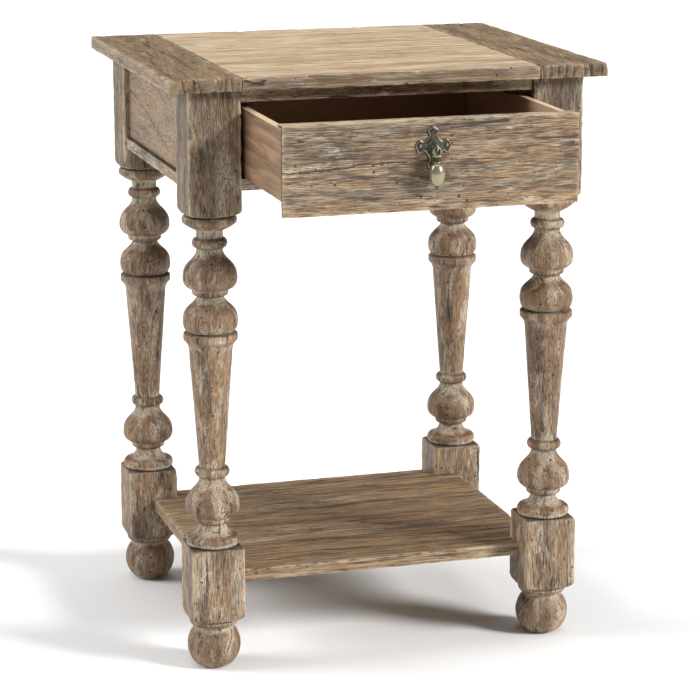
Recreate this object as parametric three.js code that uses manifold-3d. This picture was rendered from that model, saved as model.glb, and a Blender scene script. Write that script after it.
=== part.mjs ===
// Side table with one drawer: four turned legs, a boarded top with breadboard ends,
// a low shelf housed in the leg blocks, and a drawer that slides on wooden runners
// and is opened by a drop pull. Millimetres, +Z up, drawn with the drawer part open.

import * as THREE from 'three';
import { mergeVertices } from 'three/addons/utils/BufferGeometryUtils.js';
import Module from 'manifold-3d';

const wasm = await Module();
wasm.setup();

// ---------- driving dimensions ----------

const GAP = 0.3;                 // clearance between pieces that touch

// top
const TABLE_HEIGHT = 711;
const TOP_WIDTH = 530;
const TOP_DEPTH = 440;
const TOP_THICKNESS = 16;
const BREADBOARD_WIDTH = 85;
const TOP_BOARD_COUNT = 3;
const TOP_TONGUE = 5;            // thickness of the tongues that join the boards
const TOP_TONGUE_LENGTH = 10;
const SIDE_OVERHANG = 24.5;      // top beyond the posts, left and right
const FRONT_OVERHANG = 15.5;     // top beyond the posts, front and back

// legs
const LEG_SQUARE = 63;           // section of the post and of the block
const POST_LENGTH = 146;         // square post under the top
const BLOCK_LOW = 61;            // square block that holds the shelf
const BLOCK_HIGH = 151;
const TURN_RADIUS = 32;          // largest turned radius
const NECK_RADIUS = 15.8;        // smallest turned radius
const BEAD_RADIUS = 20.6;
const LIP_RADIUS = 21.5;         // small lip under a bulb
const SEAT_RADIUS = 28;          // where a disc or a bulb meets the square or the collar
const COLUMN_TOP_RADIUS = 25.5;
const LOWER_CUP_HEIGHT = 27;     // flared disc and hollow standing on the block
const UPPER_CUP_HEIGHT = 21;     // the same, hanging under the post
const CUP_RIM = 9.5;
const BULB_HEIGHT = 53.5;
const BULB_BELLY = 25;         // from a bulb's foot to its widest line
const BULB_LIP = 7;
const SEATED_BULB_HEIGHT = 43;   // bulb that sits flat on the collar
const SEATED_BULB_BELLY = 18;
const BEAD_HEIGHT = 11.5;
const BEAD_SPACE = 3;          // plain neck beside a bead
const UPPER_NECK_HEIGHT = 7.5;
const COLLAR_HEIGHT = 25.5;        // flare and ring at the column's head
const COLLAR_RIM = 9;
const FOOT_RADIUS = 32;
const FOOT_CENTRE = 27;          // height of the ball foot's centre
const FOOT_TOP = 50;
const FOOT_COLLAR_RADIUS = 29.3;
const POMMEL_DROP = 9;           // how far the lathe rounds the square's corners
const LATHE_SIDES = 16;
const LATHE_STEPS = 3;           // facets along each curve of the turning

// glides
const GLIDE_RADIUS = 10;
const GLIDE_THICKNESS = 2.5;
const GLIDE_PIN_RADIUS = 1.5;
const GLIDE_PIN_LENGTH = 14;

// aprons
const APRON_DEPTH = 117.5;       // underside of the top to the underside of the rails
const RAIL_HEIGHT = 14;
const RAIL_THICKNESS = 20;
const TOP_RAIL_HEIGHT = 15;
const FRONT_RAIL_RECESS = 6;
const SIDE_RAIL_RECESS = 2.5;
const PANEL_RECESS = 7;
const PANEL_THICKNESS = 12;
const PANEL_GROOVE = 8;          // how far a panel enters the post
const TENON_LENGTH = 12;
const TENON_THICKNESS = 9;
const TENON_SHOULDER = 2.5;

// shelf
const SHELF_HEIGHT = 114;        // upper face
const SHELF_THICKNESS = 15;
const SHELF_BOARD_COUNT = 3;
const SHELF_TONGUE = 5;

// drawer
const DRAWER_SIDE_GAP = 4.5;     // between the front's ends and the posts
const DRAWER_TOP_GAP = 3.7;      // under the front top rail
const DRAWER_FRONT_THICKNESS = 18;
const DRAWER_LIP = 5;            // front's edge left beyond its rebates
const DRAWER_LIP_DROP = 18;      // how far the lip hangs over the bottom rail
const DRAWER_FLOOR_GAP = 0.5;    // above the bottom rail
const DRAWER_BOX_THICKNESS = 9;
const DRAWER_SIDE_BELOW = 4;     // sides stop below the front's top
const DRAWER_BACK_BELOW = 4;     // back stops below the sides' top
const DRAWER_BOTTOM_THICKNESS = 5;
const DRAWER_BOTTOM_HEIGHT = 7;  // above the sides' lower edge
const DRAWER_GROOVE = 4;
const DRAWER_OPEN = 155;         // as drawn

// runners, guides, kickers, stops
const RUNNER_WIDTH = 22;
const KICKER_GAP = 0.8;
const GUIDE_HEIGHT = 14;
const STOP_LENGTH = 21;          // between the drawer's back end and the back rail
const STOP_HEIGHT = 12;

// screws in the kickers
const SCREW_RADIUS = 2;
const SCREW_HEAD_RADIUS = 4;
const SCREW_HEAD_HEIGHT = 2.6;
const SCREW_BITE = 9;            // into the top
const SCREW_INSET = 25;          // in from the outer boards' inner edges
const SCREW_SIDES = 12;

// pull
const PLATE_THICKNESS = 1.6;
const PLATE_WIDTH = 42;
const PLATE_RISE = 21.5;         // above the plate's centre
const PLATE_FALL = 29;           // below it
// Half of one lobe of the plate, from its tip to the corner between two lobes, as
// [along, across] in shares of the lobe's length.
const PLATE_LOBE = [
  [1, 0], [0.98, 0.07], [0.93, 0.13], [0.89, 0.17], [0.87, 0.24], [0.82, 0.29], [0.76, 0.31], [0.7, 0.3],
  [0.65, 0.26], [0.6, 0.22], [0.54, 0.2], [0.48, 0.22], [0.42, 0.26], [0.37, 0.3], [0.34, 0.34],
];
const PLATE_BELOW = 29;          // plate's centre under the front's top edge
const PULL_STANDOFF = 14;        // pivot in front of the drawer front
const PULL_BELOW_PLATE = 1;      // pivot under the plate's centre
const STAPLE_WIRE = 1.1;         // radius
const EYE_WIRE = 1.4;            // radius
const EYE_RADIUS = 4.1;          // of the eye's centre line
const EGG_RADIUS = 9.3;
const EGG_LENGTH = 27;
const EGG_TOP = 17;              // under the pivot
const DROP_NECK_RADIUS = 4;
const DROP_COLLAR_RADIUS = 6;
const FINIAL_RADIUS = 1.7;
const STAPLE_CLINCH = 8;         // length bent over behind the front
const PIN_RADIUS = 0.7;
const PIN_HEAD_RADIUS = 1.8;
const PIN_LENGTH = 9;
const PIN_INSET = 5.5;           // in from the side lobes' tips
const PULL_SIDES = 12;

// ---------- places worked out from them ----------

const slabUnder = TABLE_HEIGHT - TOP_THICKNESS;
const postBottom = slabUnder - POST_LENGTH;
const upperTurning = COLLAR_HEIGHT + SEATED_BULB_HEIGHT + BULB_HEIGHT + BEAD_SPACE
  + BEAD_HEIGHT + UPPER_NECK_HEIGHT + UPPER_CUP_HEIGHT;
const legX = TOP_WIDTH / 2 - SIDE_OVERHANG - LEG_SQUARE / 2;
const legY = TOP_DEPTH / 2 - FRONT_OVERHANG - LEG_SQUARE / 2;
const postOuterX = legX + LEG_SQUARE / 2;
const postInnerX = legX - LEG_SQUARE / 2;
const postOuterY = legY + LEG_SQUARE / 2;
const postInnerY = legY - LEG_SQUARE / 2;
const railLow = slabUnder - APRON_DEPTH;
const railHigh = railLow + RAIL_HEIGHT;
const topRailLow = slabUnder - TOP_RAIL_HEIGHT;

const drawerHalf = postInnerX - DRAWER_SIDE_GAP;
const drawerFrontTop = topRailLow - DRAWER_TOP_GAP;
const drawerLow = railHigh + DRAWER_FLOOR_GAP;
const drawerSideTop = drawerFrontTop - DRAWER_SIDE_BELOW;
const drawerFace = -postOuterY;                          // front's face when closed
const drawerLipBack = drawerFace + DRAWER_LIP;
const drawerFrontBack = drawerFace + DRAWER_FRONT_THICKNESS;
const backRailFront = postOuterY - SIDE_RAIL_RECESS - RAIL_THICKNESS;
const drawerBackEnd = backRailFront - 2 * GAP - STOP_LENGTH;
const drawerBottomLow = drawerLow + DRAWER_BOTTOM_HEIGHT;
const drawerBottomHigh = drawerBottomLow + DRAWER_BOTTOM_THICKNESS;

const plateHeight = drawerFrontTop - PLATE_BELOW;
const pivotHeight = plateHeight - PULL_BELOW_PLATE;
const pullProud = PULL_STANDOFF + EGG_RADIUS;

// The origin is on the floor, midway between the back of the top and the front of
// the pull as the drawer stands open.
const frontOfAll = -postOuterY - DRAWER_OPEN - pullProud;
const originShift = -(frontOfAll + TOP_DEPTH / 2) / 2;

// ---------- materials ----------

const finish = (color, roughness, metalness = 0) =>
  new THREE.MeshStandardMaterial({ color, roughness, metalness });
const weatheredWood = finish(0x8f7761, 0.75);
const topWood = finish(0xa58c70, 0.7);
const breadboardWood = finish(0x8a7663, 0.75);
const drawerWood = finish(0xa88663, 0.65);
const hiddenWood = finish(0x6d5440, 0.8);
const brass = finish(0x7a6f52, 0.35, 1);
const steel = finish(0x8c8c8c, 0.4, 1);
const glidePlastic = finish(0x3a332d, 0.6);

// ---------- solids ----------

// A closed three.js geometry as a solid that can be joined and cut.
function solid(geometry) {
  const bare = new THREE.BufferGeometry();
  bare.setAttribute('position', geometry.getAttribute('position'));
  bare.setIndex(geometry.getIndex());
  const merged = mergeVertices(bare, 1e-4);
  const index = merged.getIndex().array;
  const kept = [];
  for (let i = 0; i < index.length; i += 3) {
    const [a, b, c] = [index[i], index[i + 1], index[i + 2]];
    if (a !== b && b !== c && c !== a) kept.push(a, b, c);
  }
  return new wasm.Manifold(new wasm.Mesh({
    numProp: 3,
    vertProperties: new Float32Array(merged.getAttribute('position').array),
    triVerts: new Uint32Array(kept),
  }));
}

const box = (x0, x1, y0, y1, z0, z1) =>
  new THREE.Box3(new THREE.Vector3(x0, y0, z0), new THREE.Vector3(x1, y1, z1));

function boxSolid(space) {
  const size = space.getSize(new THREE.Vector3());
  const centre = space.getCenter(new THREE.Vector3());
  return solid(new THREE.BoxGeometry(size.x, size.y, size.z).translate(centre.x, centre.y, centre.z));
}

// The space that a piece needs in its neighbour.
const roomFor = (space) => boxSolid(space.clone().expandByScalar(GAP));

// A solid of revolution about Z from a path of (radius, height), bottom to top.
function turned(path, sides, divisions = 5, at = [0, 0, 0]) {
  const outline = path.getPoints(divisions);
  return solid(new THREE.LatheGeometry(outline, sides).rotateX(Math.PI / 2).translate(...at));
}

const group = new THREE.Group();
group.position.y = originShift;
const drawerGroup = new THREE.Group();
drawerGroup.position.y = -DRAWER_OPEN;
group.add(drawerGroup);

// Names a solid and puts it in its group as a mesh.
function place(name, shape, material, parent = group, position = [0, 0, 0]) {
  const mesh = shape.getMesh();
  const geometry = new THREE.BufferGeometry();
  geometry.setAttribute('position', new THREE.BufferAttribute(new Float32Array(mesh.vertProperties), 3));
  geometry.setIndex(new THREE.BufferAttribute(new Uint32Array(mesh.triVerts), 1));
  geometry.computeVertexNormals();
  const node = new THREE.Mesh(geometry, material);
  node.name = name;
  node.position.set(...position);
  parent.add(node);
}

// ---------- rails and panels ----------

// A rail's tenon bar runs through it from end to end; the same bar cuts its mortises.
const halfTenon = (RAIL_THICKNESS - TENON_THICKNESS) / 2;

function railAlongX(yFront, zLow, zHigh) {
  const yBack = yFront + RAIL_THICKNESS;
  const reach = postInnerX + TENON_LENGTH;
  return {
    body: box(-postInnerX + GAP, postInnerX - GAP, yFront, yBack, zLow, zHigh),
    bar: box(-reach, reach, yFront + halfTenon, yBack - halfTenon,
      zLow + TENON_SHOULDER, zHigh - TENON_SHOULDER),
  };
}

function railAlongY(xLeft, zLow, zHigh) {
  const xRight = xLeft + RAIL_THICKNESS;
  const reach = postInnerY + TENON_LENGTH;
  return {
    body: box(xLeft, xRight, -postInnerY + GAP, postInnerY - GAP, zLow, zHigh),
    bar: box(xLeft + halfTenon, xRight - halfTenon, -reach, reach,
      zLow + TENON_SHOULDER, zHigh - TENON_SHOULDER),
  };
}

const frontRailFace = -postOuterY + FRONT_RAIL_RECESS;
const sideRailFace = postOuterX - SIDE_RAIL_RECESS;
const rails = {
  front_top_rail: railAlongX(frontRailFace, topRailLow, slabUnder - GAP),
  front_bottom_rail: railAlongX(frontRailFace, railLow, railHigh),
  back_rail: railAlongX(backRailFront, railLow, railHigh),
  left_rail: railAlongY(-sideRailFace, railLow, railHigh),
  right_rail: railAlongY(sideRailFace - RAIL_THICKNESS, railLow, railHigh),
};

const panelX = postOuterX - PANEL_RECESS;
const panelY = postOuterY - PANEL_RECESS;
const panelLow = railHigh + GAP;
const panelHigh = slabUnder - GAP;
const panelReachX = postInnerX + PANEL_GROOVE;
const panelReachY = postInnerY + PANEL_GROOVE;
const panels = {
  left_panel: box(-panelX, -panelX + PANEL_THICKNESS, -panelReachY, panelReachY, panelLow, panelHigh),
  right_panel: box(panelX - PANEL_THICKNESS, panelX, -panelReachY, panelReachY, panelLow, panelHigh),
  back_panel: box(-panelReachX, panelReachX, panelY - PANEL_THICKNESS, panelY, panelLow, panelHigh),
};

for (const [name, rail] of Object.entries(rails)) {
  place(name, boxSolid(rail.body).add(boxSolid(rail.bar)), weatheredWood);
}
for (const [name, space] of Object.entries(panels)) {
  place(name, boxSolid(space), weatheredWood);
}

// ---------- shelf ----------

// Boards lie side by side along X from the front; each has a tongue on its rear
// edge that enters the next one.
function boards(prefix, count, half, depth, low, high, tongue, endTongue, material, cuts = []) {
  const width = depth / count;
  const middle = (low + high) / 2;
  for (let i = 0; i < count; i += 1) {
    const front = -depth / 2 + i * width + (i > 0 ? GAP / 2 : 0);
    const back = -depth / 2 + (i + 1) * width - (i < count - 1 ? GAP / 2 : 0);
    const edgeTongue = (y) =>
      box(-half, half, y - tongue, y + tongue, middle - tongue / 2, middle + tongue / 2);
    let board = boxSolid(box(-half, half, front, back, low, high));
    if (i > 0) board = board.subtract(roomFor(edgeTongue(front - GAP)));
    if (i < count - 1) board = board.add(boxSolid(edgeTongue(back)));
    if (endTongue > 0) {
      const inset = 2 * tongue;
      board = board.add(boxSolid(box(-half - endTongue, half + endTongue,
        front + inset, back - inset, middle - tongue / 2, middle + tongue / 2)));
    }
    for (const cut of cuts) board = board.subtract(cut);
    place(`${prefix}_${i + 1}`, board, material);
  }
}

const shelfSpace = box(-legX, legX, -legY, legY, SHELF_HEIGHT - SHELF_THICKNESS, SHELF_HEIGHT);
boards('shelf_board', SHELF_BOARD_COUNT, legX, 2 * legY, SHELF_HEIGHT - SHELF_THICKNESS,
  SHELF_HEIGHT, SHELF_TONGUE, 0, weatheredWood);

// ---------- legs ----------

// The turning, from the ball foot up to the post, as radius against height.
function legOutline() {
  const path = new THREE.Path();
  const to = (radius, height) => path.lineTo(radius, height);
  const curve = (...points) => path.bezierCurveTo(...points);

  // a half-round bead
  const bead = (low, neck) => {
    const high = low + BEAD_HEIGHT;
    to(neck, low);
    curve(BEAD_RADIUS + 2, low, BEAD_RADIUS + 2, high, neck, high);
  };
  // the upper part of every bulb: from its belly through a long hollow shoulder to the neck
  const shoulder = (belly, high) => {
    const half = (high - belly) / 2;
    curve(TURN_RADIUS - 1, belly + half, NECK_RADIUS + 1, belly + 1.25 * half, NECK_RADIUS, high);
  };
  // a bulb with a small lip under its belly
  const bulb = (low) => {
    const lip = low + BULB_LIP;
    const belly = low + BULB_BELLY;
    to(NECK_RADIUS, low);
    curve(LIP_RADIUS, low, LIP_RADIUS, low + BULB_LIP / 3, LIP_RADIUS, lip);
    curve(TURN_RADIUS, lip + BULB_LIP / 2, TURN_RADIUS + 1, belly - BULB_LIP, TURN_RADIUS, belly);
    shoulder(belly, low + BULB_HEIGHT);
  };

  // ball foot, standing on its glide, with a collar under the block
  const footLow = GLIDE_THICKNESS + GAP;
  const angleAt = (height) => Math.asin((height - FOOT_CENTRE) / FOOT_RADIUS);
  path.moveTo(0, footLow);
  to(FOOT_RADIUS * Math.cos(angleAt(footLow)), footLow);
  path.absarc(0, FOOT_CENTRE, FOOT_RADIUS, angleAt(footLow), angleAt(FOOT_TOP), false);
  const collarLow = FOOT_TOP + 2;
  curve(FOOT_COLLAR_RADIUS - 6, collarLow, FOOT_COLLAR_RADIUS, collarLow, FOOT_COLLAR_RADIUS, BLOCK_LOW - 3);
  to(FOOT_COLLAR_RADIUS, BLOCK_LOW + 1);

  // lower turning, upwards from the block: cup, bulb, bead
  const rim = BLOCK_HIGH + CUP_RIM;
  const lowerBulb = BLOCK_HIGH + LOWER_CUP_HEIGHT;
  const lowerBead = lowerBulb + BULB_HEIGHT + BEAD_SPACE;
  const columnLow = lowerBead + BEAD_HEIGHT + BEAD_SPACE;
  to(SEAT_RADIUS, BLOCK_HIGH - 1);
  to(SEAT_RADIUS, BLOCK_HIGH + 1);
  curve(TURN_RADIUS + 1, BLOCK_HIGH + 1, TURN_RADIUS + 1, rim, TURN_RADIUS - 2.5, rim + 2);
  curve(NECK_RADIUS + 5, rim + 4, NECK_RADIUS, rim + 9, NECK_RADIUS, lowerBulb);
  bulb(lowerBulb);
  bead(lowerBead, NECK_RADIUS);

  // column, tapering down, and the collar at its head
  const columnHigh = postBottom - upperTurning;
  const collarTop = columnHigh + COLLAR_HEIGHT;
  to(NECK_RADIUS, columnLow);
  to(COLUMN_TOP_RADIUS, columnHigh);
  curve(COLUMN_TOP_RADIUS, columnHigh + COLLAR_HEIGHT / 2, TURN_RADIUS - 2, columnHigh + COLLAR_HEIGHT / 2,
    TURN_RADIUS, collarTop - COLLAR_RIM);
  to(TURN_RADIUS, collarTop - 2);
  to(SEAT_RADIUS, collarTop - 1);

  // upper turning: a bulb seated on the collar, a bulb, a bead, a neck and a cup
  const seatedBelly = collarTop + SEATED_BULB_BELLY;
  const upperBulb = collarTop + SEATED_BULB_HEIGHT;
  const upperBead = upperBulb + BULB_HEIGHT + BEAD_SPACE;
  const cupLow = upperBead + BEAD_HEIGHT + UPPER_NECK_HEIGHT;
  to(SEAT_RADIUS, collarTop);
  curve(TURN_RADIUS + 1, collarTop + 3, TURN_RADIUS + 1, seatedBelly - 5, TURN_RADIUS, seatedBelly);
  shoulder(seatedBelly, upperBulb);
  bulb(upperBulb);
  bead(upperBead, NECK_RADIUS);
  to(NECK_RADIUS, cupLow);
  curve(NECK_RADIUS, cupLow + 3, TURN_RADIUS - 7, cupLow + 4, TURN_RADIUS, postBottom - CUP_RIM);
  curve(TURN_RADIUS + 1, postBottom - 4, TURN_RADIUS - 1, postBottom - 2, SEAT_RADIUS, postBottom - 2);
  to(SEAT_RADIUS, postBottom + 1);
  to(0, postBottom + 1);
  return path;
}

// Square stretches are rounded at their ends where the lathe tool met the corners.
function squareStretch(low, high, roundLow, roundHigh) {
  const half = LEG_SQUARE / 2;
  const corner = half * Math.SQRT2 + 1;
  const limit = new THREE.Path();
  limit.moveTo(0, low);
  limit.lineTo(roundLow ? half - 1 : corner, low);
  if (roundLow) limit.quadraticCurveTo(corner - 3, low + 1, corner, low + POMMEL_DROP);
  if (roundHigh) limit.lineTo(corner, high - roundHigh);
  limit.lineTo(corner - roundHigh, high);
  limit.lineTo(0, high);
  return boxSolid(box(-half, half, -half, half, low, high)).intersect(turned(limit, 24, LATHE_STEPS));
}

const legBlank = turned(legOutline(), LATHE_SIDES, LATHE_STEPS)
  .add(squareStretch(BLOCK_LOW, BLOCK_HIGH, true, 2.5))
  .add(squareStretch(postBottom, slabUnder - GAP, true, 0));

// A pinned glide under each foot.
function glideOutline(grow) {
  const path = new THREE.Path();
  path.moveTo(0, 0);
  path.lineTo(GLIDE_RADIUS, 0);
  path.lineTo(GLIDE_RADIUS, GLIDE_THICKNESS);
  path.lineTo(GLIDE_PIN_RADIUS + grow, GLIDE_THICKNESS);
  path.lineTo(GLIDE_PIN_RADIUS + grow, GLIDE_THICKNESS + GLIDE_PIN_LENGTH);
  path.lineTo(0, GLIDE_THICKNESS + GLIDE_PIN_LENGTH + 1.5 + grow);
  return path;
}

const glide = turned(glideOutline(0), PULL_SIDES, 1);
const glideHole = turned(glideOutline(GAP), PULL_SIDES, 1);

const legPlaces = {
  front_left: [-legX, -legY],
  front_right: [legX, -legY],
  back_left: [-legX, legY],
  back_right: [legX, legY],
};
const housed = [
  ...Object.values(rails).map((rail) => rail.bar),
  ...Object.values(panels),
  shelfSpace,
];
for (const [corner, [x, y]] of Object.entries(legPlaces)) {
  let leg = legBlank.subtract(glideHole);
  for (const space of housed) {
    const here = space.clone().translate(new THREE.Vector3(-x, -y, 0));
    leg = leg.subtract(roomFor(here));
  }
  place(`leg_${corner}`, leg, weatheredWood, group, [x, y, 0]);
  place(`glide_${corner}`, glide, glidePlastic, group, [x, y, 0]);
}

// ---------- runners, guides, stops and kickers ----------

const runnerFront = frontRailFace + RAIL_THICKNESS + GAP;
const runnerBack = backRailFront - GAP;
const runnerOuter = postInnerX - GAP;
const runnerInner = runnerOuter - RUNNER_WIDTH;
const runnerTop = drawerLow - GAP;
const guideInner = drawerHalf + GAP;
const stopFront = drawerBackEnd + GAP;
const kickerLow = drawerSideTop + KICKER_GAP;
const kickerBack = panelY - PANEL_THICKNESS - GAP;
const kickerMiddle = (runnerOuter + runnerInner) / 2;
const boardWidth = TOP_DEPTH / TOP_BOARD_COUNT;
const screwY = TOP_DEPTH / 2 - boardWidth + SCREW_INSET;

// A countersunk screw pointing up, with its head at the kicker's underside.
function screwShape(grow, at = [0, 0, 0]) {
  const tip = slabUnder + SCREW_BITE + grow;
  const path = new THREE.Path();
  path.moveTo(0, kickerLow + (grow > 0 ? -1 : GAP));
  path.lineTo(SCREW_HEAD_RADIUS + grow, kickerLow + (grow > 0 ? -1 : GAP));
  path.lineTo(SCREW_HEAD_RADIUS + grow, kickerLow + GAP + grow);
  path.lineTo(SCREW_RADIUS + grow, kickerLow + SCREW_HEAD_HEIGHT + grow);
  path.lineTo(SCREW_RADIUS + grow, tip - SCREW_RADIUS);
  path.lineTo(0, tip);
  return turned(path, SCREW_SIDES, 1, at);
}

const screwHoles = [];
for (const side of [-1, 1]) {
  for (const y of [-screwY, screwY]) {
    screwHoles.push(screwShape(GAP, [side * kickerMiddle, y, 0]));
  }
}

// One box given on the right and mirrored to either side.
function sideBox(side, inner, outer, y0, y1, z0, z1) {
  return side > 0 ? box(inner, outer, y0, y1, z0, z1) : box(-outer, -inner, y0, y1, z0, z1);
}

for (const [hand, side] of [['left', -1], ['right', 1]]) {
  place(`runner_${hand}`, boxSolid(sideBox(side, runnerInner, runnerOuter,
    runnerFront, runnerBack, railLow, runnerTop)), hiddenWood);
  place(`guide_${hand}`, boxSolid(sideBox(side, guideInner, runnerOuter,
    runnerFront, stopFront, runnerTop + GAP, runnerTop + GUIDE_HEIGHT)), hiddenWood);
  place(`stop_${hand}`, boxSolid(sideBox(side, runnerInner, guideInner - GAP,
    stopFront, stopFront + STOP_LENGTH, runnerTop + GAP, runnerTop + STOP_HEIGHT)), hiddenWood);
  let kicker = boxSolid(sideBox(side, runnerInner, runnerOuter,
    runnerFront, kickerBack, kickerLow, slabUnder - GAP));
  for (const hole of screwHoles) kicker = kicker.subtract(hole);
  place(`kicker_${hand}`, kicker, hiddenWood);
  for (const [end, y] of [['front', -screwY], ['back', screwY]]) {
    place(`screw_${hand}_${end}`, screwShape(0), steel, group, [side * kickerMiddle, y, 0]);
  }
}

// ---------- top ----------

const fieldHalf = TOP_WIDTH / 2 - BREADBOARD_WIDTH - GAP / 2;
boards('top_board', TOP_BOARD_COUNT, fieldHalf, TOP_DEPTH, slabUnder, TABLE_HEIGHT,
  TOP_TONGUE, TOP_TONGUE_LENGTH, topWood, screwHoles);

// Each breadboard end is grooved for the field boards' end tongues.
const topMiddle = slabUnder + TOP_THICKNESS / 2;
const tongueRun = TOP_DEPTH / 2 - 2 * TOP_TONGUE;
for (const [hand, side] of [['left', -1], ['right', 1]]) {
  const groove = sideBox(side, fieldHalf, fieldHalf + TOP_TONGUE_LENGTH, -tongueRun, tongueRun,
    topMiddle - TOP_TONGUE / 2, topMiddle + TOP_TONGUE / 2);
  const end = sideBox(side, fieldHalf + GAP, TOP_WIDTH / 2, -TOP_DEPTH / 2, TOP_DEPTH / 2,
    slabUnder, TABLE_HEIGHT);
  place(`breadboard_${hand}`, boxSolid(end).subtract(roomFor(groove)), breadboardWood);
}

// ---------- pull ----------

// The back plate is a cross of four lobes with narrower stems, longer below.
function plateShape() {
  const tip = PLATE_WIDTH / 2;
  const otherHalf = PLATE_LOBE.slice(1).reverse().map(([along, across]) => [along, -across]);
  const lobe = [...otherHalf, ...PLATE_LOBE.slice(0, -1)];
  const shape = new THREE.Shape();
  for (let quarter = 0; quarter < 4; quarter += 1) {
    lobe.forEach(([along, across], i) => {
      const point = new THREE.Vector2(along, across)
        .rotateAround(new THREE.Vector2(), (quarter * Math.PI) / 2);
      const height = point.y * (point.y > 0 ? PLATE_RISE : PLATE_FALL);
      shape[quarter + i ? 'lineTo' : 'moveTo'](point.x * tip, height);
    });
  }
  return shape;
}

// The staple's arms stand above and below the pivot; its nose is a half circle round it.
const stapleRadius = EYE_WIRE + STAPLE_WIRE + GAP;

class StapleLine extends THREE.CurvePath {
  constructor() {
    super();
    const back = drawerFrontBack + STAPLE_WIRE + GAP;
    const nose = drawerFace - PULL_STANDOFF;
    const at = (y, z) => new THREE.Vector3(0, y, pivotHeight + z);
    const bendRadius = 2.5;
    const arm = (z, out) => [at(back, z + out * STAPLE_CLINCH), at(back, z + out * bendRadius),
      at(back, z), at(back - bendRadius, z), at(nose, z)];
    const top = arm(stapleRadius, 1);
    const low = arm(-stapleRadius, -1).reverse();
    this.add(new THREE.LineCurve3(top[0], top[1]));
    this.add(new THREE.QuadraticBezierCurve3(top[1], top[2], top[3]));
    this.add(new THREE.LineCurve3(top[3], top[4]));
    const reach = (4 / 3) * stapleRadius;
    this.add(new THREE.CubicBezierCurve3(top[4], at(nose - reach, stapleRadius),
      at(nose - reach, -stapleRadius), low[0]));
    this.add(new THREE.LineCurve3(low[0], low[1]));
    this.add(new THREE.QuadraticBezierCurve3(low[1], low[2], low[3]));
    this.add(new THREE.LineCurve3(low[3], low[4]));
  }
}

function stapleShape() {
  const section = new THREE.Shape().absarc(0, 0, STAPLE_WIRE, 0, 2 * Math.PI, false);
  return solid(new THREE.ExtrudeGeometry(section, {
    extrudePath: new StapleLine(),
    steps: 40,
    curveSegments: 3,
  }));
}

// A pin with a domed head, driven along +Y through the plate into the front.
function pinShape(grow, at = [0, 0, 0]) {
  const path = new THREE.Path();
  path.moveTo(0, -PIN_LENGTH - grow);
  path.lineTo(PIN_RADIUS + grow, -PIN_LENGTH - grow);
  path.lineTo(PIN_RADIUS + grow, grow > 0 ? 1 : 0);
  if (grow > 0) {
    path.lineTo(0, 1);
  } else {
    path.lineTo(PIN_HEAD_RADIUS, 0);
    path.quadraticCurveTo(PIN_HEAD_RADIUS * 0.8, 1, 0, 1);
  }
  const line = new THREE.LatheGeometry(path.getPoints(2), 10);
  return solid(line.rotateX(Math.PI).translate(...at));
}

// The drop: an eye, a collared neck, a plain egg and a small finial, hanging from
// the pivot at the origin.
function dropShape() {
  const neckTop = -2 * EYE_RADIUS + 0.4;
  const eggMiddle = -EGG_TOP - EGG_LENGTH / 2;
  const eggLow = -EGG_TOP - EGG_LENGTH;
  const path = new THREE.Path();
  path.moveTo(0, eggLow - FINIAL_RADIUS);
  path.quadraticCurveTo(FINIAL_RADIUS, eggLow - FINIAL_RADIUS, FINIAL_RADIUS, eggLow);
  path.bezierCurveTo(EGG_RADIUS * 0.7, eggLow + 2, EGG_RADIUS, eggMiddle - 5, EGG_RADIUS, eggMiddle + 1);
  path.bezierCurveTo(EGG_RADIUS, eggMiddle + 7, EGG_RADIUS * 0.7, -EGG_TOP - 1.5,
    DROP_NECK_RADIUS + 0.6, -EGG_TOP);
  path.lineTo(DROP_COLLAR_RADIUS - 1, -EGG_TOP + 0.6);
  path.lineTo(DROP_COLLAR_RADIUS - 1, -EGG_TOP + 2);
  path.quadraticCurveTo(DROP_NECK_RADIUS - 0.4, -EGG_TOP + 4, DROP_NECK_RADIUS + 0.4, neckTop - 1.6);
  path.lineTo(DROP_COLLAR_RADIUS, neckTop - 1.2);
  path.lineTo(DROP_COLLAR_RADIUS, neckTop);
  path.lineTo(0, neckTop + 0.8);
  const eye = new THREE.TorusGeometry(EYE_RADIUS, EYE_WIRE, 6, 14);
  return turned(path, PULL_SIDES, 3)
    .add(solid(eye.rotateX(Math.PI / 2).translate(0, 0, -EYE_RADIUS)));
}

const plate = solid(new THREE.ExtrudeGeometry(plateShape(), { depth: PLATE_THICKNESS, bevelEnabled: false })
  .rotateX(Math.PI / 2)
  .translate(0, drawerFace - GAP, plateHeight));
const stapleHole = box(-STAPLE_WIRE, STAPLE_WIRE, drawerFace - 2 * PLATE_THICKNESS, drawerFrontBack,
  pivotHeight - stapleRadius - STAPLE_WIRE, pivotHeight + stapleRadius + STAPLE_WIRE);
const pinSeat = drawerFace - 2 * GAP - PLATE_THICKNESS;
const pinX = PLATE_WIDTH / 2 - PIN_INSET;
const pinHoles = [-pinX, pinX].map((x) => pinShape(GAP, [x, pinSeat, plateHeight]));

// ---------- drawer ----------

const boxInner = drawerHalf - DRAWER_BOX_THICKNESS;
const bottomSpace = box(-boxInner - DRAWER_GROOVE, boxInner + DRAWER_GROOVE,
  drawerFrontBack - DRAWER_GROOVE, drawerBackEnd, drawerBottomLow, drawerBottomHigh);

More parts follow.
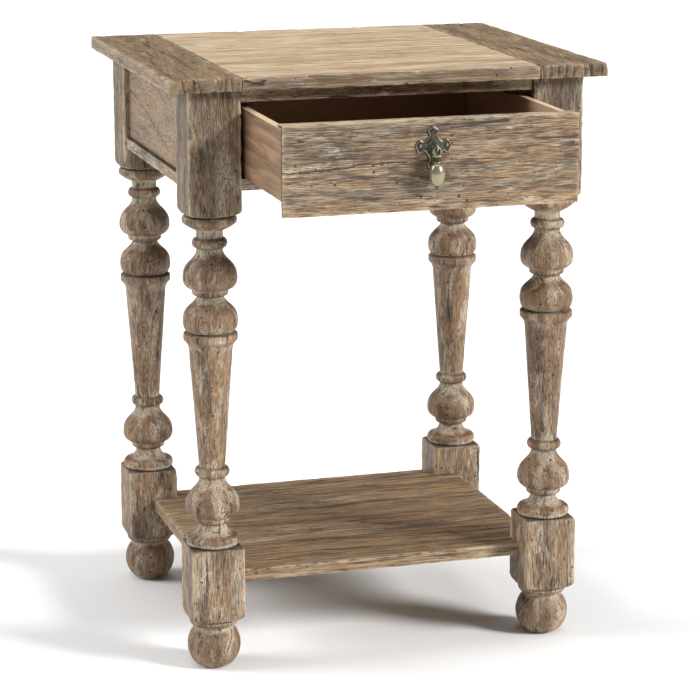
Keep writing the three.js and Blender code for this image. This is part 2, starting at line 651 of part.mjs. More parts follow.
// The front is rebated at its ends for the sides and along its foot for the rail.
let drawerFront = boxSolid(box(-drawerHalf, drawerHalf, drawerFace, drawerLipBack,
  drawerLow - DRAWER_LIP_DROP, drawerFrontTop))
  .add(boxSolid(box(-boxInner + GAP, boxInner - GAP, drawerFace, drawerFrontBack, drawerLow, drawerFrontTop)))
  .add(boxSolid(box(-drawerHalf, drawerHalf, drawerFace, drawerFrontBack, drawerSideTop + GAP,
    drawerFrontTop)))
  .subtract(roomFor(bottomSpace))
  .subtract(roomFor(stapleHole));
let pullPlate = plate.subtract(roomFor(stapleHole));
for (const hole of pinHoles) {
  drawerFront = drawerFront.subtract(hole);
  pullPlate = pullPlate.subtract(hole);
}
place('drawer_front', drawerFront, weatheredWood, drawerGroup);
place('drawer_bottom', boxSolid(bottomSpace), hiddenWood, drawerGroup);
place('drawer_back', boxSolid(box(-boxInner + GAP, boxInner - GAP,
  drawerBackEnd - DRAWER_BOX_THICKNESS, drawerBackEnd,
  drawerBottomHigh + GAP, drawerSideTop - DRAWER_BACK_BELOW)), drawerWood, drawerGroup);
for (const [hand, side] of [['left', -1], ['right', 1]]) {
  const plank = boxSolid(sideBox(side, boxInner, drawerHalf,
    drawerLipBack + GAP, drawerBackEnd, drawerLow, drawerSideTop));
  place(`drawer_side_${hand}`, plank.subtract(roomFor(bottomSpace)), drawerWood, drawerGroup);
  place(`pull_pin_${hand}`, pinShape(0), brass, drawerGroup, [side * pinX, pinSeat, plateHeight]);
}
place('pull_plate', pullPlate, brass, drawerGroup);
place('pull_staple', stapleShape(), brass, drawerGroup);
place('pull_drop', dropShape(), brass, drawerGroup,
  [0, drawerFace - PULL_STANDOFF, pivotHeight]);

export default group;
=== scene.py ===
"""A side table with one drawer, in weathered and limed wood with an antique brass drop pull."""
import math

import bpy
import numpy as np
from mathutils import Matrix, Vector


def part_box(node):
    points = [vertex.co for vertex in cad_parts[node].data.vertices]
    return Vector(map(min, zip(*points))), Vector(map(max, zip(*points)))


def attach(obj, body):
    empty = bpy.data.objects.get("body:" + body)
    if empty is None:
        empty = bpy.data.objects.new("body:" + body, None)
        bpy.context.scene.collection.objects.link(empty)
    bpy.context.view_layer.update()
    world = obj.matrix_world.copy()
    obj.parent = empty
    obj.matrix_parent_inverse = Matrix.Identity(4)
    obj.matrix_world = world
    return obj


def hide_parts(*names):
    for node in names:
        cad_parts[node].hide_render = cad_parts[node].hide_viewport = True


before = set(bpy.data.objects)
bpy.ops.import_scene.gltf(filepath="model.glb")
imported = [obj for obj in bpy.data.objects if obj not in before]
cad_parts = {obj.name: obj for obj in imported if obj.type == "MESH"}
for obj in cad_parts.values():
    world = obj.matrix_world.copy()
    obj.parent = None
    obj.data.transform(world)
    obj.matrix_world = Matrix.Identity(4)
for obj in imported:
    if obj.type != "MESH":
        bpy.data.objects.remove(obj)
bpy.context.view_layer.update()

# ---- Legs ----
# Each leg is turned from one square of solid wood, with the post and the shelf block left
# square. The wood is weathered grey brown, rubbed with lime wax that stays in the hollows,
# and worn pale along its arrises.

MM = 0.001
LEG_HALF = 31.5
BLOCK_LOW, BLOCK_HIGH = 61, 151
POST_LOW = 549
# radii of the turned stretches
BELLY, NECK, BEAD, LIP, SEAT, COLUMN_HEAD = 32, 15.8, 20.6, 21.5, 28, 25.5
# heights along them
BULB_HEIGHT, BULB_BELLY, BULB_LIP = 53.5, 25, 7
SEATED_BULB_HEIGHT, SEATED_BULB_BELLY = 43, 18
BEAD_HEIGHT, BEAD_SPACE = 11.5, 3
LOWER_CUP, UPPER_CUP, UPPER_NECK, CUP_RIM, COLLAR, COLLAR_RIM = 27, 21, 7.5, 9.5, 25.5, 9
FOOT_LOW, FOOT_CENTRE, FOOT_HIGH, FOOT_COLLAR, FOOT_STEP = 2.8, 27, 50, 29.3, 1.2
FOOT_COLLAR_LOW = FOOT_HIGH + 2
LEG_STEP = 1.3
SOFT_END = 3.2


def uneven(points, size, seed):
    """A smooth field of about -1 to 1 over the points, with swells about size apart."""
    draw = np.random.default_rng(seed)
    total = np.zeros(len(points))
    waves = 10
    for _ in range(waves):
        way = draw.normal(size=3)
        way *= math.tau * draw.uniform(0.6, 1.5) / np.linalg.norm(way) / np.asarray(size)
        total += np.sin(points @ way + draw.uniform(0, math.tau))
    return total * math.sqrt(2 / waves) / 2


class Outline:
    """Half of a turning's outline as a list of (radius, height), drawn upwards in short steps."""

    def __init__(self, radius, height, step=LEG_STEP):
        self.points = [(radius, height)]
        self.step = step

    def to(self, radius, height):
        start = np.array(self.points[-1], float)
        end = np.array((radius, height), float)
        steps = max(1, round(np.linalg.norm(end - start) / self.step))
        for i in range(1, steps + 1):
            self.points.append(tuple(start + (end - start) * i / steps))

    def curve(self, first, second, end):
        a, b, c, d = (np.array(p, float) for p in (self.points[-1], first, second, end))
        length = np.linalg.norm(b - a) + np.linalg.norm(c - b) + np.linalg.norm(d - c)
        steps = max(3, round(length / self.step))
        for i in range(1, steps + 1):
            t = i / steps
            s = 1 - t
            self.points.append(tuple(a * s**3 + b * 3 * s * s * t + c * 3 * s * t * t + d * t**3))

    def bead(self, low):
        high = low + BEAD_HEIGHT
        self.to(NECK, low)
        self.curve((BEAD + 2, low), (BEAD + 2, high), (NECK, high))

    def shoulder(self, belly, high):
        half = (high - belly) / 2
        self.curve((BELLY - 1, belly + half), (NECK + 1, belly + 1.25 * half), (NECK, high))

    def bulb(self, low):
        lip = low + BULB_LIP
        belly = low + BULB_BELLY
        self.to(NECK, low)
        self.curve((LIP, low), (LIP, low + BULB_LIP / 3), (LIP, lip))
        self.curve((BELLY, lip + BULB_LIP / 2), (BELLY + 1, belly - BULB_LIP), (BELLY, belly))
        self.shoulder(belly, low + BULB_HEIGHT)


def square_rings(low, high, soft_top):
    """Rings of a square stretch as (limit radius, height, half width), with its worn ends."""
    corner = LEG_HALF * math.sqrt(2) + 1
    rings = []
    for t in np.linspace(0, 1, 8):
        s = 1 - t
        limit = (LEG_HALF - 1) * s * s + (corner - 3) * 2 * s * t + corner * t * t
        height = low * s * s + (low + 1) * 2 * s * t + (low + 9) * t * t
        rings.append((limit, height, LEG_HALF - 1.2 * s**3))
    straight_end = high - (SOFT_END if soft_top else 0)
    for height in np.arange(low + 12, straight_end, 3.0):
        rings.append((corner, height, LEG_HALF))
    rings.append((corner, straight_end, LEG_HALF))
    if soft_top:
        for t in np.linspace(0.15, 1, 6):
            turn = t * math.pi / 2
            inward = SOFT_END * (1 - math.cos(turn))
            height = straight_end + SOFT_END * math.sin(turn)
            rings.append((corner - 1.5 * inward, height, LEG_HALF - inward))
    return rings


foot = Outline(math.sqrt(BELLY**2 - (FOOT_LOW - FOOT_CENTRE) ** 2), FOOT_LOW)
for height in np.arange(FOOT_LOW + FOOT_STEP, FOOT_HIGH, FOOT_STEP):
    foot.points.append((math.sqrt(BELLY**2 - (height - FOOT_CENTRE) ** 2), height))
foot.curve((FOOT_COLLAR - 6, FOOT_COLLAR_LOW), (FOOT_COLLAR, FOOT_COLLAR_LOW),
           (FOOT_COLLAR, BLOCK_LOW - 3))
foot.to(FOOT_COLLAR, BLOCK_LOW - 0.2)

lower = Outline(SEAT + 1, BLOCK_HIGH + 0.1)
rim = BLOCK_HIGH + CUP_RIM
lower_bulb = BLOCK_HIGH + LOWER_CUP
lower_bead = lower_bulb + BULB_HEIGHT + BEAD_SPACE
lower.curve((BELLY + 1, BLOCK_HIGH + 1), (BELLY + 1, rim), (BELLY - 2.5, rim + 2))
lower.curve((NECK + 5, rim + 4), (NECK, rim + 9), (NECK, lower_bulb))
lower.bulb(lower_bulb)
lower.bead(lower_bead)
lower.to(NECK, lower_bead + BEAD_HEIGHT + BEAD_SPACE)
column_high = (POST_LOW - UPPER_CUP - UPPER_NECK - BEAD_HEIGHT - BEAD_SPACE - BULB_HEIGHT
               - SEATED_BULB_HEIGHT - COLLAR)
collar_top = column_high + COLLAR
seated_belly = collar_top + SEATED_BULB_BELLY
upper_bulb = collar_top + SEATED_BULB_HEIGHT
upper_bead = upper_bulb + BULB_HEIGHT + BEAD_SPACE
cup_low = upper_bead + BEAD_HEIGHT + UPPER_NECK
lower.to(COLUMN_HEAD, column_high)
lower.curve((COLUMN_HEAD, column_high + COLLAR / 2), (BELLY - 2, column_high + COLLAR / 2),
            (BELLY, collar_top - COLLAR_RIM))
lower.to(BELLY, collar_top - 3)
lower.curve((BELLY, collar_top - 1.5), (BELLY - 1.5, collar_top - 1), (SEAT - 1, collar_top - 0.6))
lower.to(SEAT - 1, collar_top + 0.4)
lower.curve((BELLY + 1, collar_top + 3), (BELLY + 1, seated_belly - 5), (BELLY, seated_belly))
lower.shoulder(seated_belly, upper_bulb)
lower.bulb(upper_bulb)
lower.bead(upper_bead)
lower.to(NECK, cup_low)
lower.curve((NECK, cup_low + 3), (BELLY - 7, cup_low + 4), (BELLY, POST_LOW - CUP_RIM))
lower.curve((BELLY + 1, POST_LOW - 4), (BELLY - 1, POST_LOW - 2), (SEAT, POST_LOW - 2))
lower.to(SEAT, POST_LOW - 0.1)

leg_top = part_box("leg_front_left")[1].z / MM
leg_rings = [(r, z, None) for r, z in foot.points]
leg_rings += square_rings(BLOCK_LOW, BLOCK_HIGH, True)
leg_rings += [(r, z, None) for r, z in lower.points]
leg_rings += square_rings(POST_LOW, leg_top, False)

# degrees from an arris to each line of points, close together over the rounding
CORNER_ANGLES = [0, 1.3, 2.6, 3.9, 5.4, 7.4, 10, 14, 19, 25, 32, 39]
leg_angles = []
for quarter in range(4):
    corner_at = 45 + 90 * quarter
    leg_angles += [corner_at - a for a in reversed(CORNER_ANGLES[1:])]
    leg_angles += [corner_at + a for a in CORNER_ANGLES] + [corner_at + 45]
leg_angles = np.radians(leg_angles)


def paint(code):
    """A colour written as on a paint card, as the four linear numbers a shader takes."""
    parts = [int(code[i:i + 2], 16) / 255 for i in (0, 2, 4)]
    return tuple(((p + 0.055) / 1.055) ** 2.4 if p > 0.04045 else p / 12.92 for p in parts) + (1,)


class Value:
    """One output in a material's nodes. Sums written on values add Math nodes."""

    def __init__(self, tree, socket):
        self.tree = tree
        self.socket = socket

    def maths(self, operation, *parts, clamp=False):
        return node(self.tree, "ShaderNodeMath", {"operation": operation, "use_clamp": clamp},
                    dict(enumerate(parts)))

    def __add__(self, other):
        return self.maths("ADD", self, other)

    def __mul__(self, other):
        return self.maths("MULTIPLY", self, other)

    def __sub__(self, other):
        return self.maths("SUBTRACT", self, other)

    def __rsub__(self, other):
        return self.maths("SUBTRACT", other, self)

    __radd__ = __add__
    __rmul__ = __mul__

    def between(self, low, high):
        """0 below low, 1 above high, and smooth in between. The other way round if low > high."""
        return node(self.tree, "ShaderNodeMapRange", {"interpolation_type": "SMOOTHSTEP"},
                    {"Value": self, "From Min": low, "From Max": high})

    def part(self, axis):
        return node(self.tree, "ShaderNodeSeparateXYZ", {}, {0: self}, axis)


def node(tree, kind, settings, inputs, output=0):
    """Adds a node: its settings first, then a value or a link for each of its sockets."""
    made = tree.nodes.new(kind)
    for name, setting in settings.items():
        if name == "stops":
            while len(made.color_ramp.elements) < len(setting):
                made.color_ramp.elements.new(1)
            for element, (at, colour) in zip(made.color_ramp.elements, setting):
                element.position = at
                element.color = colour
        else:
            setattr(made, name, setting)
    for name, value in inputs.items():
        if isinstance(value, Value):
            tree.links.new(value.socket, made.inputs[name])
        else:
            made.inputs[name].default_value = value
    return Value(tree, made.outputs[output])


class Finish:
    """A material under way: where its grain lies, and the layers of colour laid on it."""

    def __init__(self, name, grain=None):
        self.material = bpy.data.materials.new(name)
        self.material.use_nodes = True
        self.tree = self.material.node_tree
        self.tree.nodes.clear()
        if grain is None:
            self.place = self.field("grain", "Vector")
            self.grain_axis = 0
        else:
            self.place = node(self.tree, "ShaderNodeTexCoord", {}, {}, "Object")
            self.grain_axis = grain

    def field(self, name, output="Fac"):
        return node(self.tree, "ShaderNodeAttribute", {"attribute_name": name}, {}, output)

    def stretched(self, along, across):
        """The place in the wood, counted in swells: along the grain and across it, in mm."""
        scale = [1 / (across * MM)] * 3
        scale[self.grain_axis] = 1 / (along * MM)
        return node(self.tree, "ShaderNodeVectorMath", {"operation": "MULTIPLY"},
                    {0: self.place, 1: scale})

    def cloud(self, along, across, detail=3.0, rough=0.55, bend=0.0):
        return node(self.tree, "ShaderNodeTexNoise", {},
                    {"Vector": self.stretched(along, across), "Scale": 1.0, "Detail": detail,
                     "Roughness": rough, "Distortion": bend})

    def dots(self, apart, size, share):
        """Round holes: size and spacing in mm, and the share of places that have one."""
        cells = self.stretched(apart, apart)
        near = node(self.tree, "ShaderNodeTexVoronoi", {}, {"Vector": cells, "Scale": 1.0})
        pick = node(self.tree, "ShaderNodeTexVoronoi", {}, {"Vector": cells, "Scale": 1.0}, "Color")
        chosen = pick.part(0).between(1 - share - 0.01, 1 - share + 0.01)
        reach = pick.part(1) * (0.6 * size / apart) + 0.4 * size / apart
        return chosen * (reach - near).between(-0.2 * size / apart, 0.1 * size / apart)

    def lay(self, under, over, share, way="MIX"):
        return node(self.tree, "ShaderNodeMix", {"data_type": "RGBA", "blend_type": way},
                    {0: share, 6: under, 7: over}, 2)

    def ramp(self, value, stops):
        return node(self.tree, "ShaderNodeValToRGB", {"stops": stops}, {0: value})

    def close(self, colour, roughness, height, depth, metallic=0.0, **more):
        """Sends the layers to the surface. depth is the relief's real depth in mm."""
        relief = node(self.tree, "ShaderNodeBump", {}, {"Height": height, "Distance": depth * MM,
                                                        "Strength": 1.0})
        surface = node(self.tree, "ShaderNodeBsdfPrincipled", {},
                       {"Base Color": colour, "Roughness": roughness, "Metallic": metallic,
                        "Normal": relief, **more})
        ending = self.tree.nodes.new("ShaderNodeOutputMaterial")
        self.tree.links.new(surface.socket, ending.inputs["Surface"])
        return self.material


# added to a crack's distances, because wood without a crack reads the field as 0
CRACK_AT = 20
CRACK_REACH = 15


def crack(along, across, path, ends):
    """Fields for one long crack: the distance across from its path in mm, and where it is open.

    path lists (along, across) points of its line, and ends the stretches where it is open.
    """
    line = np.interp(along, *zip(*path))
    open_here = np.zeros(len(along))
    for start, stop in ends:
        inside = np.minimum(along - start, stop - along)
        open_here = np.maximum(open_here, np.clip(inside / 6, 0, 1))
    return {"split": CRACK_AT + np.clip(across - line, -CRACK_REACH, CRACK_REACH), "cleft": open_here}


def weathered(name, dark, mid, light, lime, lime_share, crack_share, hole_share, grey=0.4,
              streak=1.0, length=1.0, width=1.0):
    """Old wood rubbed with lime: streaked brown under pale wax, dark checks and worm holes.

    grey is how much has gone ash grey, streak how strong the dark lines are, and length and
    width how far the figure and the fibres are drawn out.
    """
    wood = Finish(name)
    worn = wood.field("worn")
    sunk = wood.field("sunk")
    grime = wood.field("grime")
    # the figure, from broad drifts of colour down to single fibres, with its dark and pale streaks
    broad = wood.cloud(230 * length, 34, 3, 0.5, 0.3)
    bands = wood.cloud(120 * length, 7.5, 4, 0.62, 0.3)
    lines = wood.cloud(30 * length, 1.5 * width, 4, 0.75, 0.1)
    fibre = wood.cloud(20 * length, 0.68 * width, 2, 0.75, 0.1)
    colour = wood.ramp(broad * 0.5 + bands * 0.5,
                       [(0.38, paint(dark)), (0.48, paint(mid)), (0.60, paint(light))])
    colour = wood.lay(colour, paint(dark), bands.between(0.46, 0.36) * (0.45 * streak))
    colour = wood.lay(colour, paint(dark), lines.between(0.50, 0.37) * (0.65 * streak))
    colour = wood.lay(colour, paint(light), lines.between(0.52, 0.64) * (0.6 * streak))
    # turned bellies are rubbed back to a warm brown, and flat wood has gone grey in drifts
    belly = wood.field("belly")
    colour = wood.lay(colour, paint("7e5a3a"), belly * (0.1 + bands.between(0.3, 0.6) * 0.45))
    ash = wood.cloud(150, 21, 4, 0.6, 0.3).between(0.46, 0.62) * (1 - belly)
    colour = wood.lay(colour, paint("857863"), ash * grey)
    # lime lies in patches, beside a long crack, in the hollows and along the open fibres
    from_crack = wood.field("split") - CRACK_AT
    from_crack = from_crack.maths("ABSOLUTE", from_crack + (wood.cloud(14, 5, 3) - 0.5) * 5)
    cleft = wood.field("cleft")
    patches = wood.cloud(58, 15, 5, 0.68, 0.5) + sunk * 0.2 + worn * 0.07
    patches = patches + from_crack.between(7, 1) * cleft * 0.1
    white = patches.between(0.62 - 0.16 * lime_share, 0.80 - 0.16 * lime_share)
    specks = wood.cloud(5, 1.1, 2, 0.8)
    white = white * (specks.between(0.40, 0.58) * 0.8 + 0.2 + sunk * 0.1)
    colour = wood.lay(colour, paint(lime), white * 0.85)
    colour = wood.lay(colour, paint(dark), fibre.between(0.50, 0.38) * (0.9 - belly * 0.6 - sunk * 0.4))
    colour = wood.lay(colour, paint(lime), fibre.between(0.53, 0.66) * (0.45 - belly * 0.25))
    # checks follow the grain, and worm holes are scattered between them and line the long crack
    split_at = wood.cloud(260, 15, 1.5, 0.5, 0.12)
    ridge = split_at.maths("ABSOLUTE", split_at - 0.5)
    where = wood.cloud(90, 26, 2, 0.5).between(0.66 - 0.2 * crack_share, 0.70 - 0.2 * crack_share)
    checks = ridge.between(0.011, 0.004) * where
    fine_at = wood.cloud(60, 3.0, 2, 0.5, 0.1)
    fine_ridge = fine_at.maths("ABSOLUTE", fine_at - 0.5)
    fine_where = wood.cloud(40, 15, 2).between(0.66 - 0.2 * crack_share, 0.72 - 0.2 * crack_share)
    fine_checks = fine_ridge.between(0.028, 0.008) * fine_where
    marks = checks.maths("MAXIMUM", checks, wood.dots(9, 1.6, hole_share))
    marks = marks.maths("MAXIMUM", marks, wood.dots(4.4, 1.0, hole_share * 0.9) * 0.9)
    marks = marks.maths("MAXIMUM", marks, fine_checks * 0.7)
    marks = marks.maths("MAXIMUM", marks, from_crack.between(1.0, 0.45) * cleft)
    marks = marks.maths("MAXIMUM", marks, wood.dots(4.8, 1.4, 0.4) * from_crack.between(3.5, 2) * cleft)
    # arrises are rubbed pale, painted shade and some soiling darken the corners and joints, and the
    # marks are dark
    rubbed = worn * wood.cloud(16, 7, 3, 0.6).between(0.36, 0.58)
    colour = wood.lay(colour, paint("cdb899"), rubbed * 0.65)
    # painted shade: this dark layer stands for shade in corners, joints and recesses, with soiling in
    # the cracks
    colour = wood.lay(colour, paint("231810"), grime * 0.88)
    colour = wood.lay(colour, paint("21170f"), marks * 0.88)
    rough = 0.56 + white * 0.16 - lines * 0.1 - belly * 0.08 + grime * 0.2
    height = lines * 0.6 + fibre * 0.7 + bands * 0.3 + white * 0.1 - marks
    return wood.close(colour, rough, height, 0.6, **{"Specular IOR Level": 0.45})


def piece(name, body, slot, stands_for, points, faces, finish, **fields):
    """One finished piece in the part's frame, from points in metres.

    fields are stored over its points for the finish to read. body is what it moves with, and
    stands_for names the CAD nodes that it takes the place of.
    """
    mesh = bpy.data.meshes.new(name)
    mesh.from_pydata(np.asarray(points).tolist(), [], faces)
    for field, values in fields.items():
        values = np.asarray(values, np.float32)
        vector = values.ndim == 2
        layer = mesh.attributes.new(field, "FLOAT_VECTOR" if vector else "FLOAT", "POINT")
        layer.data.foreach_set("vector" if vector else "value", values.ravel())
    mesh.materials.append(finish)
    mesh.shade_smooth()
    made = bpy.data.objects.new(name, mesh)
    bpy.context.scene.collection.objects.link(made)
    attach(made, body)
    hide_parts(*stands_for)
    return made


def ring_faces(rings, sides):
    """Quads between rings of points, and a face to close each end."""
    faces = []
    for i in range(rings - 1):
        for j in range(sides):
            k = (j + 1) % sides
            faces.append((i * sides + j, i * sides + k, (i + 1) * sides + k, (i + 1) * sides + j))
    faces.append(tuple(range(sides))[::-1])
    faces.append(tuple((rings - 1) * sides + j for j in range(sides)))
    return faces


def rounded_square(angles, half, soft):
    """Distance from the middle to the side of a square with arrises rounded by soft."""
    folded = np.abs((angles + math.pi / 4) % (math.pi / 2) - math.pi / 4)
    c, s = np.cos(folded), np.sin(folded)
    flat = half / c
    k = half - soft
    arc = k * (c + s) + np.sqrt(np.maximum(soft**2 - k**2 * (c - s) ** 2, 0))
    return np.where(half * np.tan(folded) <= k, flat, arc)


leg_wood = weathered("weathered_wood", "3a291c", "775b40", "9a7753", "c9bca5", 0.95, 0.7, 0.4,
                     streak=0.75, length=0.8)
# two cracks, as (height, distance round the leg from its right side), through the foot and the block
LEG_CRACK = ([(24, -44), (38, -35), (52, -25), (98, -66), (142, -67)], [(20, 54), (96, 146)])
# radius at which the dents and flutes of a leg are laid out, and how far its arrises stand out
AROUND, ARRIS_OUT = 40, 44
SMOOTH_REACH = 12

# every leg is cut from another place in the wood and has its cracks on another side
for corner_number, corner in enumerate(("front_left", "front_right", "back_left", "back_right")):
    low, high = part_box("leg_" + corner)
    middle = (low + high) / 2 / MM
    limits = np.array([limit for limit, _, _ in leg_rings])
    heights = np.array([height for _, height, _ in leg_rings])
    halves = np.array([half or 0 for _, _, half in leg_rings])
    angle, height = np.meshgrid(leg_angles, heights)
    limit = np.repeat(limits[:, None], len(leg_angles), 1)
    half = np.repeat(halves[:, None], len(leg_angles), 1)
    squared = half > 0
    flat = np.stack([np.cos(angle) * AROUND, np.sin(angle) * AROUND, height], -1).reshape(-1, 3)
    seed = 10 * corner_number
    soft = 2.4 + 1.5 * uneven(flat, (30, 30, 16), seed + 1).reshape(angle.shape)
    soft += 2.2 * np.maximum(uneven(flat, (30, 30, 7), seed + 2).reshape(angle.shape) - 0.45, 0)
    soft = np.clip(soft, 0.9, 6)
    square = rounded_square(angle, np.where(squared, half, LEG_HALF), soft)
    radius = np.where(squared, np.minimum(square, limit), limit)
    dents = np.maximum(uneven(flat, (11, 11, 16), seed + 3), 0) * 0.45
    flutes = (uneven(flat, (6, 6, 90), seed + 4) + 1) * 0.16
    radius = radius - (dents + flutes).reshape(angle.shape)
    x = radius * np.cos(angle)
    y = radius * np.sin(angle)
    points = np.stack([x + middle.x, y + middle.y, height], -1).reshape(-1, 3) * MM
    # how far each ring stands out of, or lies below, the rings about it
    spread = np.arange(heights.min(), heights.max(), 1.0)
    weights = np.hanning(2 * SMOOTH_REACH + 3)[1:-1]
    smooth = np.convolve(np.pad(np.interp(spread, heights, limits), SMOOTH_REACH, "edge"),
                         weights / weights.sum(), "valid")
    proud = np.interp(heights, spread, np.interp(spread, heights, limits) - smooth)
    turned_ring = halves == 0
    belly = np.where(turned_ring, np.clip(proud / 3 + 0.35, 0, 1), 0)[:, None] + np.zeros_like(angle)
    sunk = np.where(turned_ring, np.clip(-proud / 2.6, 0, 1), 0)[:, None] + np.zeros_like(angle)
    fold = np.abs((angle + math.pi / 4) % (math.pi / 2) - math.pi / 4)
    from_arris = (math.pi / 4 - fold) * ARRIS_OUT
    worn = np.where(squared, np.exp(-from_arris / 3.0), 0)
    # painted shade: dark bands in the joints and in the creases of the turnings, and each post darkened
    # all over except its arrises
    grime = np.zeros_like(angle)
    for joint in (BLOCK_LOW - 1, BLOCK_HIGH + 0.5, POST_LOW - 1.5, collar_top):
        grime = np.maximum(grime, np.exp(-((height - joint) / 1.3) ** 2))
    for joint in (lower_bulb, upper_bulb, lower_bead, upper_bead, upper_bead + BEAD_HEIGHT,
                  lower_bead + BEAD_HEIGHT):
        grime = np.maximum(grime, 0.55 * np.exp(-((height - joint) / 1.5) ** 2))
    grime = np.maximum(grime, 0.34 * (height > POST_LOW) * (1 - worn))
    grain = np.stack([height, x + 70 * corner_number, y], -1).reshape(-1, 3) * MM
    grain[:, 0] += 0.9 * corner_number
    turn_to = (angle.ravel() + 1.7 * corner_number + math.pi) % math.tau - math.pi
    cracks = crack(height.ravel(), turn_to * (BELLY + 1), *LEG_CRACK)
    piece("leg_" + corner + "_turned", "table", "weathered_wood", ["leg_" + corner], points,
          ring_faces(len(heights), len(leg_angles)), leg_wood,
          grain=grain, worn=worn.ravel(), sunk=sunk.ravel(), grime=grime.ravel(), belly=belly.ravel(),
          **cracks)

# ---- Rails and panels ----
# Flat rails are tenoned into the posts, and thin panels stand in grooves behind them. They
# are the same weathered wood, and the grain runs along each one.

# mm from an edge to each of the grid lines near it
EDGE_TICKS = [0, 0.35, 0.8, 1.4, 2.2, 3.2, 4.6, 7]


def ticks(low, high, pitch):
    """Grid lines across a board, close together near its two edges, in mm."""
    length = high - low
    edge = [t for t in EDGE_TICKS if t < length / 2 - 0.2]
    inner = length - 2 * edge[-1]
    count = max(2, round(inner / pitch) + 1)
    middle = np.linspace(edge[-1], length - edge[-1], count)[1:-1]
    return low + np.array(edge + list(middle) + [length - t for t in reversed(edge)])


def block(low, high, pitch):
    """A closed box in mm with a grid on every face: its points and its faces."""
    lines = [ticks(low[i], high[i], pitch[i]) for i in range(3)]
    sizes = [len(line) for line in lines]
    quads = []
    for axis in range(3):
        u, v = (axis + 1) % 3, (axis + 2) % 3
        iu, iv = np.meshgrid(np.arange(sizes[u] - 1), np.arange(sizes[v] - 1), indexing="ij")
        for end in (0, sizes[axis] - 1):
            corners = []
            for du, dv in ((0, 0), (1, 0), (1, 1), (0, 1)):
                index = [None] * 3
                index[axis] = np.full(iu.shape, end)
                index[u] = iu + du
                index[v] = iv + dv
                corners.append((index[0] * sizes[1] + index[1]) * sizes[2] + index[2])
            if end == 0:
                corners.reverse()
            quads.append(np.stack(corners, -1).reshape(-1, 4))
    quads = np.concatenate(quads)
    used, quads = np.unique(quads, return_inverse=True)
    quads = quads.reshape(-1, 4)
    i, rest = np.divmod(used, sizes[1] * sizes[2])
    j, k = np.divmod(rest, sizes[2])
    points = np.stack([lines[0][i], lines[1][j], lines[2][k]], -1)
    return points, quads.tolist()


def worn_board(low, high, seed, pitch=(10, 10, 10), soft=1.2, chips=0.0, wave=(0, 0, 0), dish=0.15):
    """A board in mm whose arrises are rounded unevenly, with chips, and whose faces wander."""
    low, high = np.array(low, float), np.array(high, float)
    flat, faces = block(low, high, pitch)
    thin = (high - low).min() * 0.42
    radius = soft * (1 + 0.55 * uneven(flat, 26, seed + 1))
    radius += chips * np.maximum(uneven(flat, 13, seed + 2) - 0.45, 0) * 2.2
    radius = np.clip(radius, 0.25, thin)[:, None]
    kept = np.clip(flat, low + radius, high - radius)
    out = flat - kept
    reach = np.linalg.norm(out, axis=1, keepdims=True)
    normal = out / np.maximum(reach, 1e-9)
    points = kept + normal * radius
    sway = np.array(wave, float)
    for axis in range(3):
        if sway[axis]:
            line = flat.copy()
            line[:, axis] = 0
            inward = sway[axis] * (0.5 + 0.5 * np.clip(uneven(line, 48, seed + 5 + axis), -1, 1))
            points[:, axis] -= normal[:, axis] * inward
    points -= normal * (dish * np.clip(uneven(flat, 30, seed + 9) + 1, 0, 2) / 2)[:, None]
    gaps = np.sort(np.minimum(flat - low, high - flat), axis=1)
    return points, faces, np.exp(-gaps[:, 1] / 2.6)


def board(name, body, slot, node_name, finish, along, seed, low=None, high=None, painted_shade_and_soiled_sides=(), splits=0,
          long_crack=None, **shape):
    """A worn board that stands for a CAD node, with its grain along one axis.

    The sides listed for painted shade and soiling are darkened, each as an axis, which end of it, how
    dark, and how far in mm: painted shade on the panels and the side rails' tops, and darker lines at
    the seams and edges of the shelf, top and breadboard ends.
    splits is how many cracks open in each end of a board whose grain runs along Y.
    long_crack gives a path of (along the grain, height) points, and the stretches where it is open.
    """
    box_low, box_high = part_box(node_name)
    low = box_low / MM if low is None else low
    high = box_high / MM if high is None else high
    points, faces, worn = worn_board(low, high, seed, **shape)
    order = {"x": (0, 1, 2), "y": (1, 0, 2), "z": (2, 0, 1)}[along]
    grain = points[:, order] * MM + np.array([0.61, 0.17, 0.11]) * seed * 0.37
    grime = np.zeros(len(points))
    draw = np.random.default_rng(seed)
    for _ in range(splits):
        for end, sign in ((low[1], 1), (high[1], -1)):
            at, lean, wide, deep = draw.uniform((low[0] + 4, -0.25, 0.7, 2), (high[0] - 4, 0.25, 1.3, 7))
            off = points[:, 0] - at - lean * (points[:, 2] - low[2])
            into = np.maximum(sign * (points[:, 1] - end), 0)
            cut = np.exp(-((off / wide) ** 2)) * np.exp(-((into / deep) ** 2))
            points[:, 1] += sign * 1.6 * cut * (into < 3)
            grime = np.maximum(grime, 0.9 * cut)
    # painted shade, and soiling, darken the listed sides
    for axis, end, amount, reach in painted_shade_and_soiled_sides:
        away = (high[axis] - points[:, axis]) if end > 0 else (points[:, axis] - low[axis])
        grime = np.maximum(grime, amount * np.exp(-np.maximum(away, 0) / reach))
    cracks = crack(points[:, order[0]], points[:, 2], *long_crack) if long_crack else {}
    return piece(name, body, slot, [node_name], points * MM, faces, finish, grain=grain,
                 worn=worn * (1 - grime), sunk=np.zeros(len(points)), grime=grime, **cracks)


